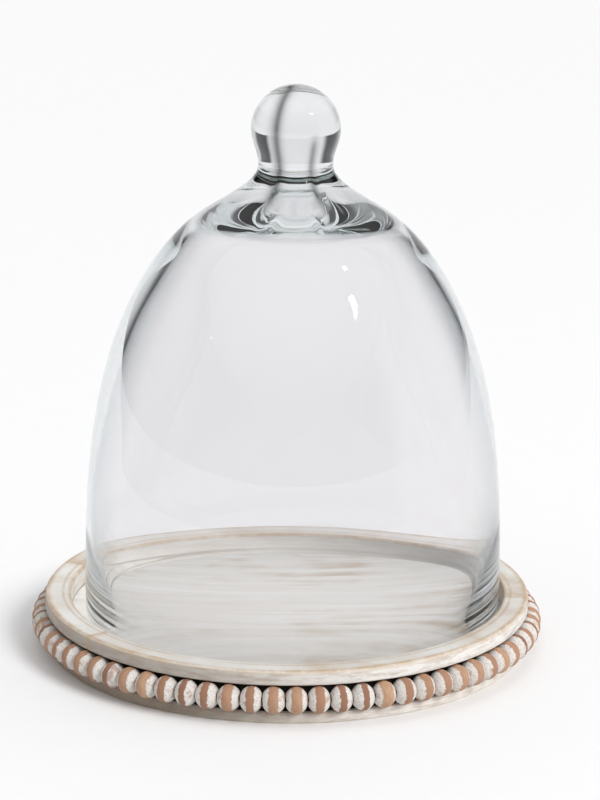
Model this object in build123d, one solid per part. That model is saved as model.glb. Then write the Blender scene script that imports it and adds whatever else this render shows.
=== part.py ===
from build123d import *
import math
import os

# Bell jar: a blown glass dome with a solid glass knob, standing loose in the
# recess of a round wooden tray whose edge carries a ring of wooden beads.
# Millimetres, +Z up. The origin is the middle of the tray's underside.

# --- driving dimensions -------------------------------------------------
TRAY_HEIGHT = 26.4           # table to the top of the rim
RIM_OUTER_R = 120.2          # side band of the rim
RIM_INNER_R = 107.4          # wall of the recess
RIM_LIP_THICKNESS = 7.0      # height of the side band
RIM_TOP_ROUND = 1.6          # both upper corners
RIM_LIP_ROUND = 0.8          # lower corner, over the beads
RECESS_DEPTH = 9.8           # rim top down to the floor the glass stands on
BASE_PLATE_R = 118.6
BASE_PLATE_THICKNESS = 5.6
BASE_PLATE_ROUND = 1.4       # worn upper edge
BASE_PLATE_CHAMFER = 0.8     # lower edge
FLOOR_BOARD_R = 113.2        # its edge is the back wall of the bead groove

BEAD_COUNT = 72
BEADS_PER_NODE = 6
BEAD_DIAMETER = 13.4         # across the hole
BEAD_LENGTH = 10.2           # along the hole
BEAD_END_R = 3.0             # flat round the mouth of the hole
BEAD_HOLE_D = 2.6
BEAD_RING_R = 120.3          # circle through the bead centres
CORD_D = 1.6

GLASS_HEIGHT = 263.2         # foot to the top of the knob
GLASS_OFFSET_X = 2.8         # the jar stands a little to one side of its loose recess
FOOT_R = 102.9
FOOT_THICKNESS = 7.0         # the rolled foot is thicker than the wall
FOOT_ROUND = 2.6
WALL_THICKNESS = 4.0
KNOB_R = 21.6                # its upper half is a hemisphere
NECK_R = 18.0
CEILING_Z = 209.5            # underside of the solid crown, above the foot

# Each rim segment starts at one of these joints, in degrees from +X towards +Y.
RIM_JOINTS = (-6.0, 50.0, 106.0, 162.0, 218.0, 286.0)
RIM_JOINT_GAP = 0.15         # glue line between neighbouring segments
# ------------------------------------------------------------------------

FLOOR_Z = TRAY_HEIGHT - RECESS_DEPTH
LIP_Z = TRAY_HEIGHT - RIM_LIP_THICKNESS
BEAD_Z = (BASE_PLATE_THICKNESS + LIP_Z) / 2


def ring_profile(points):
    """Closed face in the XZ plane through the given (radius, height) points."""
    with BuildSketch(Plane.XZ) as sketch:
        with BuildLine():
            Polyline(*points, close=True)
        make_face()
    return sketch.sketch


def turned(face, start=0.0, sweep=360.0):
    """Revolve an XZ face about +Z, beginning at the start angle."""
    solid = revolve(face, axis=Axis.Z, revolution_arc=sweep)
    return solid.rotate(Axis.Z, start)


def base_plate():
    """Bottom disc: the lip that shows under the beads."""
    on_table = (Align.CENTER, Align.CENTER, Align.MIN)
    plate = Cylinder(BASE_PLATE_R, BASE_PLATE_THICKNESS, align=on_table)
    plate = fillet(plate.edges().group_by(Axis.Z)[-1], BASE_PLATE_ROUND)
    return chamfer(plate.edges().group_by(Axis.Z)[0], BASE_PLATE_CHAMFER)


def floor_board():
    """Middle disc: its top is the recess floor and its edge backs the groove."""
    on_plate = (Align.CENTER, Align.CENTER, Align.MIN)
    board = Cylinder(FLOOR_BOARD_R, FLOOR_Z - BASE_PLATE_THICKNESS, align=on_plate)
    return board.moved(Location((0, 0, BASE_PLATE_THICKNESS)))


def rim_segment(start, end):
    """One sawn length of the rim: glued on the floor board, with a lip over the beads."""
    profile = ring_profile(
        [
            (RIM_INNER_R, FLOOR_Z),
            (FLOOR_BOARD_R, FLOOR_Z),
            (FLOOR_BOARD_R, LIP_Z),
            (RIM_OUTER_R, LIP_Z),
            (RIM_OUTER_R, TRAY_HEIGHT),
            (RIM_INNER_R, TRAY_HEIGHT),
        ]
    )
    top_corners = profile.vertices().group_by(Axis.Z)[-1]
    profile = fillet(top_corners, RIM_TOP_ROUND)
    lip_corner = profile.vertices().group_by(Axis.X)[-1].sort_by(Axis.Z)[0:1]
    profile = fillet(lip_corner, RIM_LIP_ROUND)
    gap_angle = math.degrees(RIM_JOINT_GAP / RIM_OUTER_R)
    return turned(profile, start + gap_angle / 2, end - start - gap_angle)


def bead():
    """Oblate bead on the X axis, with flat ends round its hole."""
    bulge_r = BEAD_DIAMETER / 2
    half = BEAD_LENGTH / 2
    hole_r = BEAD_HOLE_D / 2
    with BuildSketch(Plane.XY) as sketch:
        with BuildLine():
            Line((-half, hole_r), (half, hole_r))
            Line((half, hole_r), (half, BEAD_END_R))
            Spline(
                (half, BEAD_END_R), (0, bulge_r), (-half, BEAD_END_R),
                tangents=[(-0.4, 1), (-0.4, -1)],
            )
            Line((-half, BEAD_END_R), (-half, hole_r))
        make_face()
    return revolve(sketch.sketch, axis=Axis.X)


def bead_group(first, single):
    """Separate beads that sit next to each other on the cord."""
    step = 360.0 / BEAD_COUNT
    beads = []
    for index in range(first, first + BEADS_PER_NODE):
        # the bead's hole runs along the ring, so it is built at -Y and swung round
        placed = single.moved(Location((0, -BEAD_RING_R, BEAD_Z)))
        beads.append(placed.rotate(Axis.Z, step * (index + 0.5)))
    return Compound(children=beads)


def bead_cord():
    """Closed loop of cord through every bead, buried in the groove."""
    return Torus(BEAD_RING_R, CORD_D / 2).moved(Location((0, 0, BEAD_Z)))


def glass_outline():
    """Half section of the jar: rolled foot, wall, shoulder, neck and knob, then the inside."""
    # outside, from the foot up
    foot_outer = (FOOT_R, 0)
    wall_mid = (98.3, 94.1)
    shoulder_low = (81.0, 154.8)
    shoulder_top = (48.5, 198.1)
    neck_base = (26.4, 212.8)
    neck = (NECK_R, 224.6)
    knob_widest = (KNOB_R, GLASS_HEIGHT - KNOB_R)
    knob_top = (0, GLASS_HEIGHT)
    # inside, from the crown down
    ceiling = (0, CEILING_Z)
    ceiling_edge = (9.0, 208.7)
    crown_inner = [(18.0, 204.6), (34.0, 198.6), (48.0, 192.6), (60.0, 178.0)]
    inner_shoulder = (75.5, 152.0)
    inner_wall_mid = (98.3 - WALL_THICKNESS, 92.0)
    inner_wall_low = (FOOT_R - WALL_THICKNESS, 22.0)
    foot_inner = (FOOT_R - FOOT_THICKNESS, 0)
    # directions in which the inside runs down at the joins of its curves
    shoulder_fall = (0.55, -1)
    wall_fall = (0.13, -1)
    foot_fall = (-0.1, -1)
    with BuildSketch(Plane.XZ) as sketch:
        with BuildLine():
            Spline(
                foot_outer, wall_mid, shoulder_low, shoulder_top, neck_base, neck,
                tangents=[(0, 1), (0, 1)],
            )
            Spline(neck, knob_widest, tangents=[(0, 1), (0, 1)])
            TangentArc(knob_widest, knob_top, tangent=(0, 1))
            Line(knob_top, ceiling)
            Spline(ceiling, ceiling_edge, *crown_inner, tangents=[(1, 0), shoulder_fall])
            Spline(crown_inner[-1], inner_shoulder, inner_wall_mid, tangents=[shoulder_fall, wall_fall])
            Spline(inner_wall_mid, inner_wall_low, foot_inner, tangents=[wall_fall, foot_fall])
            Line(foot_inner, foot_outer)
        make_face()
        fillet(sketch.vertices().filter_by(lambda v: v.X > NECK_R).group_by(Axis.Z)[0], FOOT_ROUND)
    return sketch.sketch


def glass_dome():
    """Dome and knob in one piece of glass, solid from the crown up."""
    glass = revolve(glass_outline(), axis=Axis.Z)
    return glass.moved(Location((GLASS_OFFSET_X, 0, FLOOR_Z)))


def write(name, shape):
    """One STEP file per sub-part."""
    export_step(shape, f"parts/{name}.step")


os.makedirs("parts", exist_ok=True)
write("base_plate", base_plate())
write("floor_board", floor_board())
for number, start in enumerate(RIM_JOINTS, start=1):
    end = RIM_JOINTS[number] if number < len(RIM_JOINTS) else RIM_JOINTS[0] + 360.0
    write(f"rim_segment_{number}", rim_segment(start, end))
one_bead = bead()
for group in range(BEAD_COUNT // BEADS_PER_NODE):
    write(f"beads_{group + 1:02d}", bead_group(group * BEADS_PER_NODE, one_bead))
write("bead_cord", bead_cord())
write("glass_dome", glass_dome())
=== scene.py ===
import math
import random

import bmesh
import bpy
import numpy as np
from mathutils import Matrix, Vector, noise


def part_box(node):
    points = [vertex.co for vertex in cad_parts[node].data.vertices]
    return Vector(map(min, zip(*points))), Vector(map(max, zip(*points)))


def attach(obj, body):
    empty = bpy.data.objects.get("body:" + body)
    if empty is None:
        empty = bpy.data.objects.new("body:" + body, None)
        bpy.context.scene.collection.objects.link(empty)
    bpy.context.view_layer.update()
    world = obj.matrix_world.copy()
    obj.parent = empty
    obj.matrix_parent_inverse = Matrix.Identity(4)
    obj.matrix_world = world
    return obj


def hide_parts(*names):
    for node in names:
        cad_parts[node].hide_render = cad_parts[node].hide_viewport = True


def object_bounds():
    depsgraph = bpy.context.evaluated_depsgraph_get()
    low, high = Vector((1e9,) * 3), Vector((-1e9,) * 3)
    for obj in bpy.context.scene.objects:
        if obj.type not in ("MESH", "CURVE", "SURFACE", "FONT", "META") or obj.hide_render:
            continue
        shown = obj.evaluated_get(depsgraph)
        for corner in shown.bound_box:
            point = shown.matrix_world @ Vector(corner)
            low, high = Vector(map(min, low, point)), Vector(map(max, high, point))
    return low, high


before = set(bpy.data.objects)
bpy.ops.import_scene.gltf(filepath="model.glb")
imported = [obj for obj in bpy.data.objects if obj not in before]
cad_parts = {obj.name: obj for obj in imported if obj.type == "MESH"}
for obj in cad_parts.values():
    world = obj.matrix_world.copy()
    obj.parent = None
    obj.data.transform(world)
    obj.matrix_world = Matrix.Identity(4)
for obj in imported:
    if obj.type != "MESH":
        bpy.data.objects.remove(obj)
CAD_LOW, CAD_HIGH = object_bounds()

MM = 0.001
BEAD_COUNT = 72
BEADS_PER_NODE = 6
BEAD_SIDES = 40
BASE_SIDES = 240
GLASS_SIDES = 320
GLASS_BOUNCES = 16  # light turns many times inside the solid crown and knob
ON_AXIS = 1e-7  # a radius below this is a single vertex on the axis

random.seed(11)


# ---------------------------------------------------------------- measures
def node_names(prefix):
    return sorted(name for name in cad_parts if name.startswith(prefix))


def span(node):
    """Centre x, outer radius, low z and high z of a round node."""
    low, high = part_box(node)
    return (low.x + high.x) / 2, (high.x - low.x) / 2, low.z, high.z


GLASS_X, FOOT_R, FLOOR_Z, KNOB_TOP_Z = span("glass_dome")
_, BASE_R, BASE_LOW_Z, BASE_TOP_Z = span("base_plate")
_, BOARD_R, _, _ = span("floor_board")
_, CORD_OUTER_R, CORD_LOW_Z, CORD_TOP_Z = span("bead_cord")
BEAD_Z = (CORD_LOW_Z + CORD_TOP_Z) / 2
BEAD_RING_R = CORD_OUTER_R - (CORD_TOP_Z - CORD_LOW_Z) / 2
BEAD_R = CAD_HIGH.x - BEAD_RING_R
RIM_TOP_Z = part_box("rim_segment_1")[1].z
RIM_OUTER_R = 120.2 * MM
RIM_INNER_R = 107.4 * MM
LIP_Z = BASE_TOP_Z + (BEAD_Z - BASE_TOP_Z) * 2
RIM_TOP_ROUND = 1.7 * MM
RIM_LIP_ROUND = 0.8 * MM
RIM_GLUE = 0.06 * MM  # how far each length runs into the CAD's glue gap
BASE_TOP_ROUND = 1.5 * MM
BASE_FOOT_CHAMFER = 0.8 * MM
HAND_FINISH = 0.22 * MM  # deepest unevenness of the wooden surfaces
BEAD_HALF_LENGTH = 5.1 * MM
BEAD_END_R = 3.0 * MM
BEAD_HOLE_R = 1.3 * MM
BEAD_TILT = 6  # degrees either way
KNOB_R = 21.6 * MM
NECK_R = 18.0 * MM
NECK_BELOW_TOP = 38.6 * MM
GLASS_WALL = 4.0 * MM
GLASS_FOOT = 7.0 * MM
GLASS_FOOT_ROUND = 2.6 * MM
GLASS_DRIFT = 1.0 * MM  # the inside sits this far to the right, so the left wall is thicker
DRIFT_FROM, DRIFT_FULL = 4 * MM, 60 * MM  # heights between which that sets in


# ---------------------------------------------------------------- geometry
def smooth_path(points, start, end, count):
    """Points on a cubic spline through the given ones, with the end directions given."""
    knots = np.array(points, float)
    chords = np.linalg.norm(np.diff(knots, axis=0), axis=1)
    t = np.concatenate([[0], np.cumsum(chords)])
    n = len(knots)
    matrix = np.zeros((n, n))
    right = np.zeros((n, 2))
    matrix[0, 0] = matrix[-1, -1] = 1
    right[0] = np.array(start) / np.linalg.norm(start)
    right[-1] = np.array(end) / np.linalg.norm(end)
    for i in range(1, n - 1):
        before, after = chords[i - 1], chords[i]
        matrix[i, i - 1 : i + 2] = after, 2 * (before + after), before
        right[i] = 3 * (
            after * (knots[i] - knots[i - 1]) / before + before * (knots[i + 1] - knots[i]) / after
        )
    slopes = np.linalg.solve(matrix, right)
    out = []
    for s in np.linspace(0, t[-1], count):
        i = min(int(np.searchsorted(t, s, side="right")) - 1, n - 2)
        h = chords[i]
        u = (s - t[i]) / h
        out.append(
            (2 * u**3 - 3 * u**2 + 1) * knots[i]
            + (u**3 - 2 * u**2 + u) * h * slopes[i]
            + (-2 * u**3 + 3 * u**2) * knots[i + 1]
            + (u**3 - u**2) * h * slopes[i + 1]
        )
    return [tuple(p) for p in out]


def arc(centre, radius, start, end, count):
    """Points on a circular arc, in degrees."""
    angles = np.radians(np.linspace(start, end, count))
    return [(centre[0] + radius * math.cos(a), centre[1] + radius * math.sin(a)) for a in angles]


def new_piece(name, verts, faces, material, smooth=True):
    mesh = bpy.data.meshes.new(name)
    mesh.from_pydata(verts, [], faces)
    mesh.polygons.foreach_set("use_smooth", [smooth] * len(mesh.polygons))
    mesh.materials.append(material)
    mesh.validate()
    mesh.update()
    piece = bpy.data.objects.new(name, mesh)
    bpy.context.scene.collection.objects.link(piece)
    return piece


def lathe(outline, sides, place):
    """Vertices and faces of an outline turned about Z; points on the axis become one vertex.
    place(r, z, angle) gives each vertex its final spot."""
    verts, rows = [], []
    for r, z in outline:
        if r < ON_AXIS:
            rows.append([len(verts)] * sides)
            verts.append(place(0.0, z, 0.0))
            continue
        rows.append(list(range(len(verts), len(verts) + sides)))
        verts += [place(r, z, 2 * math.pi * k / sides) for k in range(sides)]
    faces = []
    for low, high in zip(rows, rows[1:]):
        for k in range(sides):
            after = (k + 1) % sides
            corners = [low[k], low[after], high[after], high[k]]
            faces.append([v for i, v in enumerate(corners) if v not in corners[:i]])
    return verts, faces


def closed_lathe(outline, sides, place):
    """A lathe whose outline is a loop: its last ring is the first one again."""
    verts, faces = lathe(outline + outline[:1], sides, place)
    seam = len(verts) - sides
    faces = [[v - seam if v >= seam else v for v in face] for face in faces]
    return verts[:seam], faces


def sweep(outline, start, end, steps, place):
    """A closed outline carried round Z from start to end, in degrees, with capped ends."""
    n = len(outline)
    verts, faces = [], []
    for s in range(steps + 1):
        angle = math.radians(start + (end - start) * s / steps)
        verts += [place(r, z, angle) for r, z in outline]
    for s in range(steps):
        for i in range(n):
            j = (i + 1) % n
            faces.append([s * n + i, (s + 1) * n + i, (s + 1) * n + j, s * n + j])
    faces.append(list(range(n)))
    faces.append([steps * n + i for i in reversed(range(n))])
    return verts, faces


def recalc_normals(piece):
    bm = bmesh.new()
    bm.from_mesh(piece.data)
    bmesh.ops.recalc_face_normals(bm, faces=bm.faces)
    bm.to_mesh(piece.data)
    bm.free()
    return piece


# ---------------------------------------------------------------- material helpers
class NodeTree:
    """Short calls for building a node tree."""

    def __init__(self, tree):
        self.tree = tree

    def add(self, kind, inputs=None, **settings):
        node = self.tree.nodes.new(kind)
        for key, value in settings.items():
            setattr(node, key, value)
        for key, value in (inputs or {}).items():
            self.put(node, key, value)
        return node

    def put(self, node, key, value):
        socket = node.inputs[key]
        if isinstance(value, bpy.types.NodeSocket):
            self.tree.links.new(value, socket)
        else:
            socket.default_value = value

    def coords(self, scale=(1, 1, 1)):
        source = self.add("ShaderNodeTexCoord")
        vector = source.outputs["Object"]
        mapping = self.add("ShaderNodeMapping", {"Vector": vector, "Scale": scale})
        return mapping.outputs["Vector"]

    def noise(self, scale, detail=4.0, rough=0.55, vector=None, distortion=0.0):
        inputs = {"Scale": scale, "Detail": detail, "Roughness": rough, "Distortion": distortion}
        inputs["Vector"] = vector if vector is not None else self.coords()
        return self.add("ShaderNodeTexNoise", inputs).outputs["Fac"]

    def ramp(self, value, *stops):
        """stops are (position, colour or grey)."""
        node = self.add("ShaderNodeValToRGB", {"Fac": value})
        ramp = node.color_ramp
        while len(ramp.elements) < len(stops):
            ramp.elements.new(0.5)
        for element, (position, colour) in zip(ramp.elements, stops):
            element.position = position
            grey = (colour, colour, colour) if isinstance(colour, (int, float)) else colour
            element.color = (*grey, 1)
        return node.outputs["Color"]

    def mix(self, factor, first, second):
        node = self.add("ShaderNodeMix", data_type="RGBA")
        self.put(node, "Factor", factor)
        for index, value in ((6, first), (7, second)):
            if isinstance(value, bpy.types.NodeSocket):
                self.tree.links.new(value, node.inputs[index])
            else:
                node.inputs[index].default_value = (*value, 1)
        return node.outputs[2]

    def math(self, operation, first, second=0.0, third=0.0):
        node = self.add("ShaderNodeMath", operation=operation)
        for index, value in enumerate((first, second, third)):
            if isinstance(value, bpy.types.NodeSocket):
                self.tree.links.new(value, node.inputs[index])
            else:
                node.inputs[index].default_value = value
        return node.outputs["Value"]

    def times(self, first, second):
        return self.math("MULTIPLY", first, second)

    def inverted(self, value):
        return self.math("SUBTRACT", 1.0, value)


class Nodes(NodeTree):
    """One material's node tree."""

    def __init__(self, name):
        self.material = bpy.data.materials.new(name)
        self.material.use_nodes = True
        super().__init__(self.material.node_tree)
        self.bsdf = self.tree.nodes["Principled BSDF"]
        self.output = self.tree.nodes["Material Output"]

    def bump(self, height, distance, strength=1.0):
        inputs = {"Height": height, "Distance": distance, "Strength": strength}
        self.put(self.bsdf, "Normal", self.add("ShaderNodeBump", inputs).outputs["Normal"])


# ---------------------------------------------------------------- materials
PAINT = (0.86, 0.845, 0.81)
PAINT_THIN = (0.73, 0.69, 0.63)
BARE_TAN = (0.54, 0.385, 0.235)
BARE_BROWN = (0.30, 0.18, 0.105)
# painted shade: the base's shaded side and the line in the rim's inner corner
PAINTED_SHADE_TAUPE = (0.36, 0.32, 0.275)
# painted shade deep in the bead groove, near black
GROOVE_PAINTED_SHADE = (0.075, 0.052, 0.038)
# painted shade and painted light of the rim's outer band, at its left and its right
RIM_SIDE_PAINTED_SHADE = (0.50, 0.465, 0.42)
RIM_SIDE_PAINTED_LIGHT = (0.80, 0.78, 0.74)
FLOOR_PAINT = (0.93, 0.92, 0.885)
BEAD_DARK = (0.27, 0.13, 0.08)
BEAD_MEDIUM = (0.39, 0.21, 0.13)
BEAD_PALE = (0.57, 0.36, 0.23)
BEAD_GRAIN = (0.36, 0.18, 0.10)
BEAD_WASH = (0.77, 0.745, 0.71)
BEAD_WASH_THIN = (0.50, 0.39, 0.32)
CORD_DARK = (0.10, 0.075, 0.05)
CORD_PALE = (0.24, 0.19, 0.14)
STUDIO_PAPER = (0.94, 0.94, 0.94)
GLASS_CLEAR = (0.940, 0.932, 0.942)
GLASS_SLANTED = (0.74, 0.775, 0.79)
GLASS_GRAZED = (0.48, 0.54, 0.56)
# painted shade: the colour the glass is darkened to in the knob's creases
GLASS_CREASE_PAINTED_SHADE = (0.06, 0.057, 0.06)
GLASS_BODY = (0.70, 0.79, 0.79, 1)
GLASS_DENSITY = 8.0
GLASS_IOR = 1.5
GLASS_SMUDGE = 0.02  # roughness of the dullest smudges

SIDE_LEFT_X, SIDE_RIGHT_X = -0.055, 0.045  # painted shade becomes painted light between these
FINE_GRAIN = 3.2  # how much closer the fine streaks are than the broad ones
WEAR_EASE = 1.2 * MM
# width of the painted shade line in the rim's inner corner
CORNER_SHADE_WIDTH = 1.3 * MM


def glass_material():
    """Clear soda glass, a little uneven from blowing. It takes on a blue-green grey where it is
    seen at a slant, and painted shade in the creases of the knob."""
    m = Nodes("blown_glass")
    # painted shade in the knob's creases, read from the crease attribute
    crease_painted_shade = m.add("ShaderNodeAttribute", attribute_name="crease").outputs["Fac"]
    slant = m.add("ShaderNodeLayerWeight").outputs["Facing"]
    clear = m.ramp(slant, (0.50, GLASS_CLEAR), (0.75, GLASS_SLANTED), (0.95, GLASS_GRAZED))
    m.put(m.bsdf, "Base Color", m.mix(crease_painted_shade, clear, GLASS_CREASE_PAINTED_SHADE))
    m.bsdf.inputs["Transmission Weight"].default_value = 1.0
    m.bsdf.inputs["IOR"].default_value = GLASS_IOR
    smudges = m.ramp(m.noise(22.0, 3.0), (0.5, 0.0), (0.8, 1.0))
    m.put(m.bsdf, "Roughness", m.times(smudges, GLASS_SMUDGE))
    ripples = m.noise(9.0, 1.0, vector=m.coords((1, 1, 0.5)))
    m.bump(ripples, 0.0006, 0.03)
    absorb = m.add("ShaderNodeVolumeAbsorption")
    absorb.inputs["Color"].default_value = GLASS_BODY
    absorb.inputs["Density"].default_value = GLASS_DENSITY
    m.put(m.output, "Volume", absorb.outputs["Volume"])
    return m.material


def radius_of(m):
    """Distance from the tray's axis, in metres."""
    spot = m.add("ShaderNodeTexCoord").outputs["Object"]
    flat = m.add("ShaderNodeVectorMath", {0: spot, 1: (1, 1, 0)}, operation="MULTIPLY")
    length = m.add("ShaderNodeVectorMath", {0: flat.outputs["Vector"]}, operation="LENGTH")
    return length.outputs["Value"]


def near(m, value, target, width):
    """1 where value is at target, falling to 0 a width away."""
    away = m.math("ABSOLUTE", m.math("SUBTRACT", value, target))
    return m.inverted(m.math("MINIMUM", m.math("DIVIDE", away, width), 1.0))


def beyond(m, value, low, high):
    """0 where value is below low, 1 above high, easing between."""
    inputs = {"Value": value, "From Min": low, "From Max": high}
    eased = m.add("ShaderNodeMapRange", inputs, interpolation_type="SMOOTHSTEP")
    return eased.outputs["Result"]


def within(m, value, low, high, before, after):
    """1 where value is from low to high, easing to 0 over the widths before and after."""
    above = beyond(m, value, low - before, low)
    return m.times(above, m.inverted(beyond(m, value, high, high + after)))


def painted_wood(name, grain, edges=(), coverage=0.5, bare_amount=0.7, side=None, painted_groove_shade=None,
                 ends=False, paint=PAINT, contrast=1.0, worn_above=None, corner_shade_z=None):
    """Whitewash brushed on pale wood: streaks along the grain, bare wood worn through at edges.
    grain scales the pattern per axis; edges are (radius, width, strength) rings of wear.
    side is (radius, colour at the left, colour at the right) of the outer band: painted shade
    at the left, painted light at the right. hidden is (low radius, high radius, low z, high z)
    of the painted shade inside the bead groove.
    ends wears the rim's joints. worn_above keeps the rings of wear to the upper corners, and
    corner_shade_z is the z of a line of painted shade in the corner."""
    m = Nodes(name)
    streaks = m.noise(1.0, 6.0, 0.62, m.coords(grain), 0.25)
    fine = m.noise(1.0, 8.0, 0.7, m.coords(tuple(FINE_GRAIN * g for g in grain)), 0.1)
    patches = m.noise(17.0, 3.0, 0.6)
    specks = m.noise(210.0, 4.0, 0.7)
    thin = m.ramp(streaks, (coverage - 0.09, 1.0), (coverage + 0.16, 0.0))
    body = m.mix(m.times(thin, 0.8 * contrast), paint, PAINT_THIN)
    fine_mask = m.ramp(fine, (0.36, 1.0), (0.55, 0.0))
    body = m.mix(m.times(fine_mask, 0.35 * contrast), body, PAINT_THIN)
    bare = m.times(m.ramp(patches, (0.54, 0.0), (0.68, 1.0)), thin)
    body = m.mix(m.times(bare, bare_amount), body, BARE_TAN)
    place = m.add("ShaderNodeSeparateXYZ", {"Vector": m.coords()})
    radius = radius_of(m)
    if side:
        # the outer band: painted shade at the left easing to painted light at the right
        side_r, left, right = side
        painted_light_to_right = beyond(m, place.outputs["X"], SIDE_LEFT_X, SIDE_RIGHT_X)
        band = m.mix(m.times(fine_mask, 0.45), m.mix(painted_light_to_right, left, right), BARE_BROWN)
        body = m.mix(beyond(m, radius, side_r - 0.7 * MM, side_r - 0.3 * MM), body, band)
    for ring, width, strength in edges:
        ragged = m.times(near(m, radius, ring, width), m.ramp(patches, (0.30, 0.35), (0.52, 1.0)))
        ragged = m.times(ragged, m.ramp(specks, (0.38, 0.5), (0.6, 1.0)))
        if worn_above:
            upper = beyond(m, place.outputs["Z"], worn_above, worn_above + WEAR_EASE)
            ragged = m.times(ragged, upper)
        body = m.mix(m.times(ragged, strength), body, BARE_TAN)
    if ends:
        worn = m.add("ShaderNodeAttribute", attribute_name="end_wear").outputs["Fac"]
        worn = m.times(worn, m.ramp(specks, (0.35, 0.35), (0.6, 1.0)))
        body = m.mix(m.times(worn, 0.8), body, BARE_TAN)
    # painted shade along the corner where the rim's inner wall meets the floor
    if corner_shade_z:
        corner = near(m, place.outputs["Z"], corner_shade_z, CORNER_SHADE_WIDTH)
        corner = m.times(corner, m.ramp(patches, (0.35, 0.5), (0.5, 1.0)))
        body = m.mix(corner, body, PAINTED_SHADE_TAUPE)
    # painted shade inside the bead groove
    if painted_groove_shade:
        low_r, high_r, low_z, high_z = painted_groove_shade
        inside = within(m, radius, low_r, high_r, 0.3 * MM, 0.4 * MM)
        level = within(m, place.outputs["Z"], low_z, high_z, 0.2 * MM, 0.2 * MM)
        body = m.mix(m.times(inside, level), body, GROOVE_PAINTED_SHADE)
    m.put(m.bsdf, "Base Color", body)
    m.put(m.bsdf, "Roughness", m.ramp(streaks, (0.3, 0.72), (0.7, 0.52)))
    m.bsdf.inputs["Specular IOR Level"].default_value = 0.35
    height = m.math("ADD", m.times(fine, 0.6), m.times(streaks, 0.4))
    m.bump(m.math("ADD", height, m.times(specks, 0.35)), 0.0005, 0.55)
    return m.material


def bead_material():
    """Whitewashed ends with a bare band round the middle; the local X axis is the hole."""
    m = Nodes("bead_whitewash")
    spot = m.add("ShaderNodeTexCoord").outputs["Object"]
    place = m.add("ShaderNodeSeparateXYZ", {"Vector": spot})
    info = m.add("ShaderNodeObjectInfo")
    inputs = {0: spot, 1: info.outputs["Location"]}
    own_spot = m.add("ShaderNodeVectorMath", inputs, operation="ADD").outputs["Vector"]
    ragged = m.noise(420.0, 5.0, 0.65, own_spot)
    speck = m.noise(1500.0, 3.0, 0.7, own_spot)
    along = m.math("DIVIDE", m.math("ABSOLUTE", place.outputs["X"]), BEAD_R)
    wobble = m.times(m.math("SUBTRACT", ragged, 0.5), 0.42)
    width = m.math("MULTIPLY_ADD", info.outputs["Random"], 0.20, 0.23)
    edge = m.math("SUBTRACT", m.math("ADD", along, wobble), width)
    band = m.ramp(m.math("MULTIPLY_ADD", edge, 5.0, 0.5), (0.35, 1.0), (0.62, 0.0))
    tone = m.ramp(info.outputs["Random"], (0.0, BEAD_DARK), (0.4, BEAD_MEDIUM), (1.0, BEAD_PALE))
    grain = m.ramp(m.noise(260.0, 4.0, 0.6, m.coords((6, 1, 1))), (0.4, 1.0), (0.62, 0.0))
    tone = m.mix(m.times(grain, 0.45), tone, BEAD_GRAIN)
    wash = m.mix(m.ramp(speck, (0.48, 0.0), (0.64, 0.75)), BEAD_WASH, BEAD_WASH_THIN)
    worn_off = m.noise(170.0, 4.0, 0.65, own_spot)
    wash = m.mix(m.ramp(worn_off, (0.56, 0.0), (0.64, 0.6)), wash, tone)
    m.put(m.bsdf, "Base Color", m.mix(band, wash, tone))
    m.put(m.bsdf, "Roughness", m.ramp(ragged, (0.3, 0.5), (0.7, 0.72)))
    m.bump(m.math("SUBTRACT", speck, m.times(band, 0.6)), 0.0004, 0.7)
    return m.material


def cord_material():
    m = Nodes("waxed_cord")
    twist = m.noise(900.0, 2.0)
    m.put(m.bsdf, "Base Color", m.ramp(twist, (0.35, CORD_DARK), (0.65, CORD_PALE)))
    m.put(m.bsdf, "Roughness", m.ramp(twist, (0.3, 0.6), (0.7, 0.85)))
    m.bump(twist, 0.0003)
    return m.material


def paper_material(name, colour):
    """Matt studio paper with a very faint tooth."""
    m = Nodes(name)
    tooth = m.noise(60.0, 2.0)
    darker = tuple(c * 0.985 for c in colour)
    m.put(m.bsdf, "Base Color", m.mix(tooth, colour, darker))
    m.bsdf.inputs["Roughness"].default_value = 0.95
    m.bsdf.inputs["Specular IOR Level"].default_value = 0.0
    return m.material


# ---------------------------------------------------------------- pieces
def smooth_step(value, low, high):
    """0 below low, 1 above high, easing between; low may be the larger."""
    t = min(1.0, max(0.0, (value - low) / (high - low)))
    return t * t * (3 - 2 * t)


# Creases tooled into the hot knob: azimuth from the front, depth, half width, painted shade
# and how far below the knob's top they begin, where 0 is over the top.
CREASES = (
    (-27, 1.2 * MM, 3.4 * MM, 1.0, 0.0),
    (25, 0.8 * MM, 2.3 * MM, 0.9, 18 * MM),
    (-131, 0.35 * MM, 2.2 * MM, 0.1, 6 * MM),
    (139, 0.35 * MM, 2.2 * MM, 0.1, 6 * MM),
)
CREASE_FULL, CREASE_END = 50 * MM, 62 * MM  # below the top: they fade out from one to the other
CREASE_START = 10 * MM  # height over which a crease that starts lower deepens
CREASE_CLEAR_R = 8 * MM  # they fade out towards the axis


def crease(r, z, angle, top):
    """How far the creases draw the knob's surface in at one spot, and the painted shade there."""
    fade = smooth_step(z, top - CREASE_END, top - CREASE_FULL)
    fade *= smooth_step(r, 0.0, CREASE_CLEAR_R)
    inward = dark = 0.0
    for azimuth, depth, width, painted_shade, start in CREASES:
        turn = angle - math.radians(azimuth - 90)
        turn = math.atan2(math.sin(turn), math.cos(turn))
        begun = smooth_step(z, top - start, top - start - CREASE_START) if start else 1.0
        shape = begun * fade * math.exp(-((turn * r / width) ** 2))
        inward += depth * shape
        dark += painted_shade * shape
    return inward, min(1.0, dark)


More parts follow.
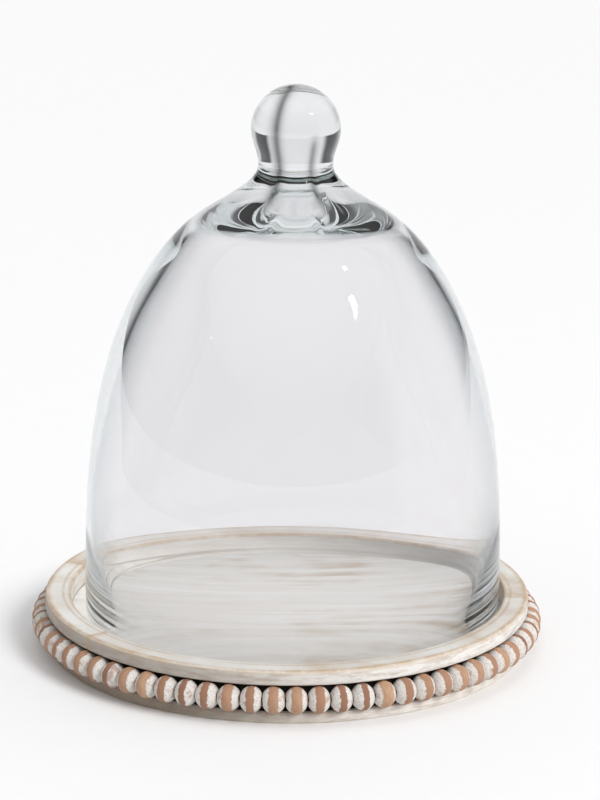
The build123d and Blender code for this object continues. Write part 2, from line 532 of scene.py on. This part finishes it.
def glass_outline(top):
    """The jar's outside from the foot up and its inside from the ceiling down, as (radius,
    height above the foot). The outside's middle radii are shares of the foot's, as in the CAD."""
    neck = (NECK_R, top - NECK_BELOW_TOP)
    mid = (0.955 * FOOT_R, 94.1 * MM)
    outside = arc((FOOT_R - GLASS_FOOT_ROUND, GLASS_FOOT_ROUND), GLASS_FOOT_ROUND, -90, 0, 8)[:-1]
    outside += smooth_path(
        [(FOOT_R, GLASS_FOOT_ROUND), mid, (0.787 * FOOT_R, 154.8 * MM),
         (0.471 * FOOT_R, 198.1 * MM), (0.2566 * FOOT_R, 212.8 * MM), neck],
        (0, 1), (0, 1), 140,
    )[:-1]
    outside += smooth_path([neck, (KNOB_R, top - KNOB_R)], (0, 1), (0, 1), 22)[:-1]
    outside += arc((0, top - KNOB_R), KNOB_R, 0, 90, 30)[:-1]
    outside.append((0, top))
    foot_inner = FOOT_R - GLASS_FOOT
    inside = smooth_path(
        [(0, 209.5 * MM), (9 * MM, 208.7 * MM), (18 * MM, 204.6 * MM), (34 * MM, 198.6 * MM),
         (48 * MM, 192.6 * MM), (60 * MM, 178 * MM), (75.5 * MM, 152 * MM),
         (mid[0] - GLASS_WALL, 92.0 * MM), (FOOT_R - GLASS_WALL, 22.0 * MM),
         (foot_inner, GLASS_FOOT_ROUND)],
        (1, 0), (-0.1, -1), 140,
    )
    roll = (foot_inner + GLASS_FOOT_ROUND, GLASS_FOOT_ROUND)
    inside += arc(roll, GLASS_FOOT_ROUND, 180, 270, 8)[1:]
    return outside, inside


def glass_dome():
    """Hand-blown jar: rolled foot, wall, solid crown and knob in one mesh, with the painted
    shade that each vertex gets from the creases."""
    top = KNOB_TOP_Z - FLOOR_Z
    outside, inside = glass_outline(top)
    outer = set(outside)
    painted_shade = []

    def place(r, z, angle):
        drift = 0.0
        dark = 0.0
        if (r, z) in outer:
            inward, dark = crease(r, z, angle, top)
            r -= inward
        else:
            drift = GLASS_DRIFT * smooth_step(z, DRIFT_FROM, DRIFT_FULL)
        painted_shade.append(dark)
        return (GLASS_X + r * math.cos(angle) + drift, r * math.sin(angle), FLOOR_Z + z)

    verts, faces = closed_lathe(outside + inside, GLASS_SIDES, place)
    return verts, faces, painted_shade[: len(verts)]


def make_glass(material):
    verts, faces, painted_shade = glass_dome()
    piece = recalc_normals(new_piece("glass_jar", verts, faces, material))
    # the crease attribute holds the painted shade of the knob's creases
    shade = piece.data.attributes.new("crease", "FLOAT", "POINT")
    shade.data.foreach_set("value", painted_shade)
    piece.visible_shadow = False  # so that light reaches the tray
    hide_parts("glass_dome")
    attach(piece, "dome")


def rim_outline():
    """Section of the rim, with its worn round edges, anticlockwise from the inner foot."""
    edge, lip, top = RIM_TOP_ROUND, RIM_LIP_ROUND, RIM_TOP_Z
    points = [(RIM_INNER_R, FLOOR_Z), (BOARD_R, FLOOR_Z), (BOARD_R, LIP_Z)]
    points += arc((RIM_OUTER_R - lip, LIP_Z + lip), lip, -90, 0, 4)
    points += [(RIM_OUTER_R, LIP_Z + (top - LIP_Z) * f) for f in (0.35, 0.55)]
    points += arc((RIM_OUTER_R - edge, top - edge), edge, 0, 90, 7)
    width = RIM_OUTER_R - RIM_INNER_R
    points += [(RIM_OUTER_R - width * f, top) for f in (0.3, 0.5, 0.7)]
    points += arc((RIM_INNER_R + edge, top - edge), edge, 90, 180, 7)
    points += [(RIM_INNER_R, FLOOR_Z + (top - FLOOR_Z) * f) for f in (0.6, 0.3)]
    return points


# Joints of the rim that show: degrees from +X, and how many degrees the wear runs on before
# and after.
WORN_JOINTS = ((354, 0.2, 9.0), (162, 5.0, 1.0), (218, 0.6, 1.6))


def end_wear(spot):
    """1 at a worn joint, fading to 0 along the rim."""
    angle = math.degrees(math.atan2(spot.y, spot.x)) % 360
    wear = 0.0
    for joint, before, after in WORN_JOINTS:
        away = (angle - joint + 180) % 360 - 180
        reach = after if away >= 0 else before
        wear = max(wear, 1 - abs(away) / reach)
    return wear


def segment_angles(name):
    """Where a rim segment starts and ends, in degrees from +X: either side of its widest gap."""
    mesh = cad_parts[name].data
    angles = sorted(math.degrees(math.atan2(v.co.y, v.co.x)) % 360 for v in mesh.vertices)
    _, end, start = max((b - a, a, b) for a, b in zip(angles, angles[1:] + [angles[0] + 360]))
    start, end = start % 360, end % 360
    return start, end if end > start else end + 360


def noise_field(seed):
    """Small always-inward unevenness of hand-finished wood, in metres."""

    def field(spot):
        broad = noise.noise(spot * 60 + Vector((seed, 0, 0)))
        fine = noise.noise(spot * 300 + Vector((0, seed, 0)))
        return HAND_FINISH * (0.5 + 0.35 * broad + 0.15 * fine)

    return field


def make_rim(material):
    outline = rim_outline()
    glue = math.degrees(RIM_GLUE / RIM_OUTER_R)
    for index, name in enumerate(node_names("rim_segment_")):
        start, end = segment_angles(name)
        start, end = start - glue, end + glue
        dips = noise_field(index * 7.3)

        def place(r, z, angle, dips=dips):
            spot = Vector((r * math.cos(angle), r * math.sin(angle), z))
            inward = dips(spot)
            k = (r - inward) / r
            above_lip = z > LIP_Z + 1.0 * MM
            return (spot.x * k, spot.y * k, z - (inward * 0.6 if above_lip else 0))

        verts, faces = sweep(outline, start, end, max(2, round(end - start)), place)
        length_name = name.replace("segment", "length")
        piece = recalc_normals(new_piece(length_name, verts, faces, material))
        mark_sharp(piece)
        wear = piece.data.attributes.new("end_wear", "FLOAT", "POINT")
        wear.data.foreach_set("value", [end_wear(v.co) for v in piece.data.vertices])
        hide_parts(name)
        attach(piece, "tray")


def mark_sharp(piece, angle=40):
    """Flat facets where faces meet sharply, smooth elsewhere."""
    piece.data.set_sharp_from_angle(angle=math.radians(angle))


def make_base(material):
    """Bottom disc with a softly rounded, slightly uneven edge."""
    edge, foot = BASE_TOP_ROUND, BASE_FOOT_CHAMFER
    top, low = BASE_TOP_Z, BASE_LOW_Z
    outline = [(0, low), (BASE_R * 0.5, low), (BASE_R - foot, low), (BASE_R, low + foot)]
    outline += [(BASE_R, low + (top - low) * 0.5)]
    outline += arc((BASE_R - edge, top - edge), edge, 0, 90, 6)
    outline += [(BASE_R * f, top) for f in (0.95, 0.9, 0.5)] + [(0, top)]
    field = noise_field(3.1)

    def place(r, z, angle):
        spot = Vector((r * math.cos(angle), r * math.sin(angle), z))
        k = (r - field(spot)) / r if r > BASE_R * 0.9 else 1
        return (spot.x * k, spot.y * k, z)

    verts, faces = lathe(outline, BASE_SIDES, place)
    piece = recalc_normals(new_piece("base_disc", verts, faces, material))
    mark_sharp(piece)
    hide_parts("base_plate")
    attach(piece, "tray")


def bead_mesh(name, material, seed, turn):
    """Oblate turned bead on its X axis, with a small drilled hole and soft irregularity.
    turn is applied to the mesh itself."""
    half = BEAD_HALF_LENGTH
    outline = smooth_path(
        [(BEAD_END_R, -half), (BEAD_R, 0), (BEAD_END_R, half)], (1, 0.4), (-1, 0.4), 17
    )
    outline = [(BEAD_HOLE_R, -half)] + outline + [(BEAD_HOLE_R, half)]
    rng = random.Random(seed)
    # each bead reads another part of the noise
    shift = Vector((rng.uniform(-9, 9), rng.uniform(-9, 9), rng.uniform(-9, 9)))
    squash = rng.uniform(0.94, 0.995)

    def place(r, x, angle):
        spot = Vector((x, r * math.cos(angle), r * math.sin(angle)))
        dent = 0.5 + 0.5 * noise.noise(spot * 190 + shift)
        k = 1 - 0.045 * dent
        return turn @ Vector((spot.x * squash, spot.y * k, spot.z * k))

    verts, faces = closed_lathe(outline, BEAD_SIDES, place)
    piece = recalc_normals(new_piece(name, verts, faces, material))
    mark_sharp(piece, 55)
    return piece


def make_beads(material):
    step = 2 * math.pi / BEAD_COUNT
    for number in range(BEAD_COUNT):
        group = number // BEADS_PER_NODE + 1
        spin = Matrix.Rotation(random.uniform(0, 2 * math.pi), 4, "X")
        tilt = Matrix.Rotation(math.radians(random.uniform(-BEAD_TILT, BEAD_TILT)), 4, "Y")
        skew = Matrix.Rotation(math.radians(random.uniform(-BEAD_TILT, BEAD_TILT)), 4, "Z")
        piece = bead_mesh(f"bead_{number + 1:02d}", material, number, skew @ tilt @ spin)
        angle = step * (number + 0.5)
        spot = Vector((BEAD_RING_R * math.sin(angle), -BEAD_RING_R * math.cos(angle), BEAD_Z))
        piece.matrix_world = Matrix.Translation(spot) @ Matrix.Rotation(angle, 4, "Z")
        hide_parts(f"beads_{group:02d}")
        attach(piece, "tray")


def dress_cad(node, material):
    """Gives a carried-over CAD node its finished material."""
    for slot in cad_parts[node].material_slots:
        slot.material = material


# ---------------------------------------------------------------- studio
# Brightness of the room round the object, by degrees from straight behind it, to the right.
ROOM_WALLS = (
    (-125, 0.13), (-112, 0.30), (-66, 0.30), (-54, 0.05), (-34, 0.05), (-26, 0.86),
    (25, 0.86), (31, 0.06), (50, 0.06), (60, 0.80), (112, 0.80), (125, 0.13),
)
OVERHEAD = 0.81
OVERHEAD_FROM, OVERHEAD_FULL = 0.30, 0.75  # height of a direction where overhead takes over
ROOM_BLUE = 1.01  # the room is very slightly blue
FLOOR_SIZE = 14

CAMERA_PITCH = 15.61  # degrees down
CAMERA_ROLL = 0.47  # degrees
CAMERA_DISTANCE = 1.6
CAMERA_LENS = 143.8
CAMERA_SENSOR = 36
CAMERA_RIGHT = 5.8 * MM
CAMERA_UP = 118.9 * MM


def stage_sheet(name, size, matrix, material):
    """Flat square sheet of studio paper."""
    h = size / 2
    corners = [(-h, -h, 0), (h, -h, 0), (h, h, 0), (-h, h, 0)]
    piece = new_piece(name, corners, [(0, 1, 2, 3)], material, smooth=False)
    piece.matrix_world = matrix


def facing(spot, target):
    """Matrix that puts a light at spot with its -Z side towards target."""
    direction = (Vector(target) - Vector(spot)).normalized()
    return Matrix.Translation(spot) @ direction.to_track_quat("-Z", "Y").to_matrix().to_4x4()


def around(azimuth, elevation, distance, centre):
    """A point at an angle round the object: azimuth 0 is the front, 90 the right side."""
    a, e = math.radians(azimuth), math.radians(elevation)
    out = Vector((math.sin(a) * math.cos(e), -math.cos(a) * math.cos(e), math.sin(e)))
    return Vector(centre) + out * distance


def new_lamp(name, kind, energy, matrix):
    light = bpy.data.lights.new(name, kind)
    light.energy = energy
    lamp = bpy.data.objects.new(name, light)
    bpy.context.scene.collection.objects.link(lamp)
    lamp.matrix_world = matrix
    return lamp


def softbox(name, azimuth, elevation, distance, size, power, centre):
    """Small rectangular light that the glass reflects."""
    matrix = facing(around(azimuth, elevation, distance, centre), centre)
    lamp = new_lamp(name, "AREA", power, matrix)
    lamp.data.shape = "RECTANGLE"
    lamp.data.size, lamp.data.size_y = size


def sun(azimuth, elevation, strength, spread):
    """Key light with no falloff; only matt surfaces see it."""
    origin = (0, 0, 0)
    matrix = facing(around(azimuth, elevation, 3, origin), origin)
    lamp = new_lamp("key", "SUN", strength, matrix)
    lamp.data.angle = math.radians(spread)
    lamp.visible_glossy = False
    lamp.visible_transmission = False


def room_grey(level):
    return (level, level, level * ROOM_BLUE)


def studio_world():
    """White overhead, a white sweep behind the object, lit side walls, and dark gaps between,
    which give clear glass its edges. The camera's side of the room is dark."""
    world = bpy.data.worlds.new("studio")
    world.use_nodes = True
    m = NodeTree(world.node_tree)
    direction = m.add("ShaderNodeTexCoord").outputs["Generated"]
    split = m.add("ShaderNodeSeparateXYZ", {"Vector": direction})
    azimuth = m.math("ARCTAN2", split.outputs["X"], split.outputs["Y"])
    inputs = {"Value": azimuth, "From Min": -math.pi, "From Max": math.pi}
    turn = m.add("ShaderNodeMapRange", inputs).outputs["Result"]
    stops = [((degrees + 180) / 360, room_grey(level)) for degrees, level in ROOM_WALLS]
    walls = m.ramp(turn, *stops)
    upward = m.ramp(
        split.outputs["Z"], (OVERHEAD_FROM, room_grey(0.0)), (OVERHEAD_FULL, room_grey(1.0))
    )
    room = m.mix(upward, walls, room_grey(OVERHEAD))
    m.put(m.tree.nodes["Background"], "Color", room)
    bpy.context.scene.world = world


def make_studio():
    centre = Vector((0, 0, (CAD_LOW.z + CAD_HIGH.z) / 2))
    studio_world()
    paper = paper_material("floor_paper", STUDIO_PAPER)
    stage_sheet("floor", FLOOR_SIZE, Matrix.Translation((0, 0, CAD_LOW.z)), paper)
    sun(azimuth=42, elevation=36, strength=1.8, spread=24)
    softbox("highlight", azimuth=54, elevation=45, distance=1.5, size=(0.09, 0.12), power=1.5,
            centre=centre)


def make_camera():
    """Long lens, looking a little down at the middle of the jar."""
    pitch, roll = math.radians(CAMERA_PITCH), math.radians(CAMERA_ROLL)
    ahead = Vector((0, math.cos(pitch), -math.sin(pitch)))
    up = Vector((0, math.sin(pitch), math.cos(pitch)))
    data = bpy.data.cameras.new("camera")
    data.lens = CAMERA_LENS
    data.sensor_width = CAMERA_SENSOR
    camera = bpy.data.objects.new("camera", data)
    bpy.context.scene.collection.objects.link(camera)
    spot = -CAMERA_DISTANCE * ahead + CAMERA_RIGHT * Vector((1, 0, 0)) + CAMERA_UP * up
    turn = Matrix.Rotation(math.pi / 2 - pitch, 4, "X") @ Matrix.Rotation(roll, 4, "Z")
    camera.matrix_world = Matrix.Translation(spot) @ turn
    bpy.context.scene.camera = camera


# ---------------------------------------------------------------- assembly
make_camera()
make_studio()
bpy.context.scene.view_settings.view_transform = "Standard"
for limit in ("max_bounces", "glossy_bounces", "transmission_bounces"):
    setattr(bpy.context.scene.cycles, limit, GLASS_BOUNCES)

rim_wood = painted_wood(
    "rim_whitewash",
    grain=(28, 28, 160),
    edges=((RIM_OUTER_R - 1.4 * MM, 2.2 * MM, 1.0), (RIM_INNER_R + 0.5 * MM, 1.7 * MM, 1.0),
           (RIM_INNER_R + 3.8 * MM, 1.2 * MM, 0.7)),
    coverage=0.47,
    # the rim's outer band carries painted shade at the left and painted light at the right
    side=(RIM_OUTER_R, RIM_SIDE_PAINTED_SHADE, RIM_SIDE_PAINTED_LIGHT),
    worn_above=RIM_TOP_Z - 2.4 * MM,
    # a line of painted shade in the corner at the floor
    corner_shade_z=FLOOR_Z + 0.2 * MM,
    # painted shade in the bead groove under the rim's lip
    painted_groove_shade=(BOARD_R, RIM_OUTER_R - 1.2 * MM, BASE_TOP_Z, LIP_Z + 0.5 * MM),
    ends=True,
)
floor_wood = painted_wood(
    "floor_whitewash",
    grain=(9, 110, 60),
    coverage=0.46,
    bare_amount=0.6,
    paint=FLOOR_PAINT,
    contrast=0.62,
    # painted shade on the floor board's edge inside the bead groove
    painted_groove_shade=(BOARD_R - 0.1 * MM, BOARD_R + MM, BASE_TOP_Z, LIP_Z),
)
base_wood = painted_wood(
    "base_whitewash",
    grain=(24, 24, 200),
    edges=((BASE_R - 0.8 * MM, 1.2 * MM, 0.6),),
    # the base's outer band carries painted shade at the left and paint at the right
    side=(BASE_R, PAINTED_SHADE_TAUPE, PAINT),
    # painted shade on the base's top inside the bead groove
    painted_groove_shade=(BOARD_R - MM, BASE_R - 2.5 * MM, BASE_TOP_Z - 0.3 * MM, LIP_Z),
)

make_glass(glass_material())
make_rim(rim_wood)
make_base(base_wood)
make_beads(bead_material())
dress_cad("floor_board", floor_wood)
dress_cad("bead_cord", cord_material())
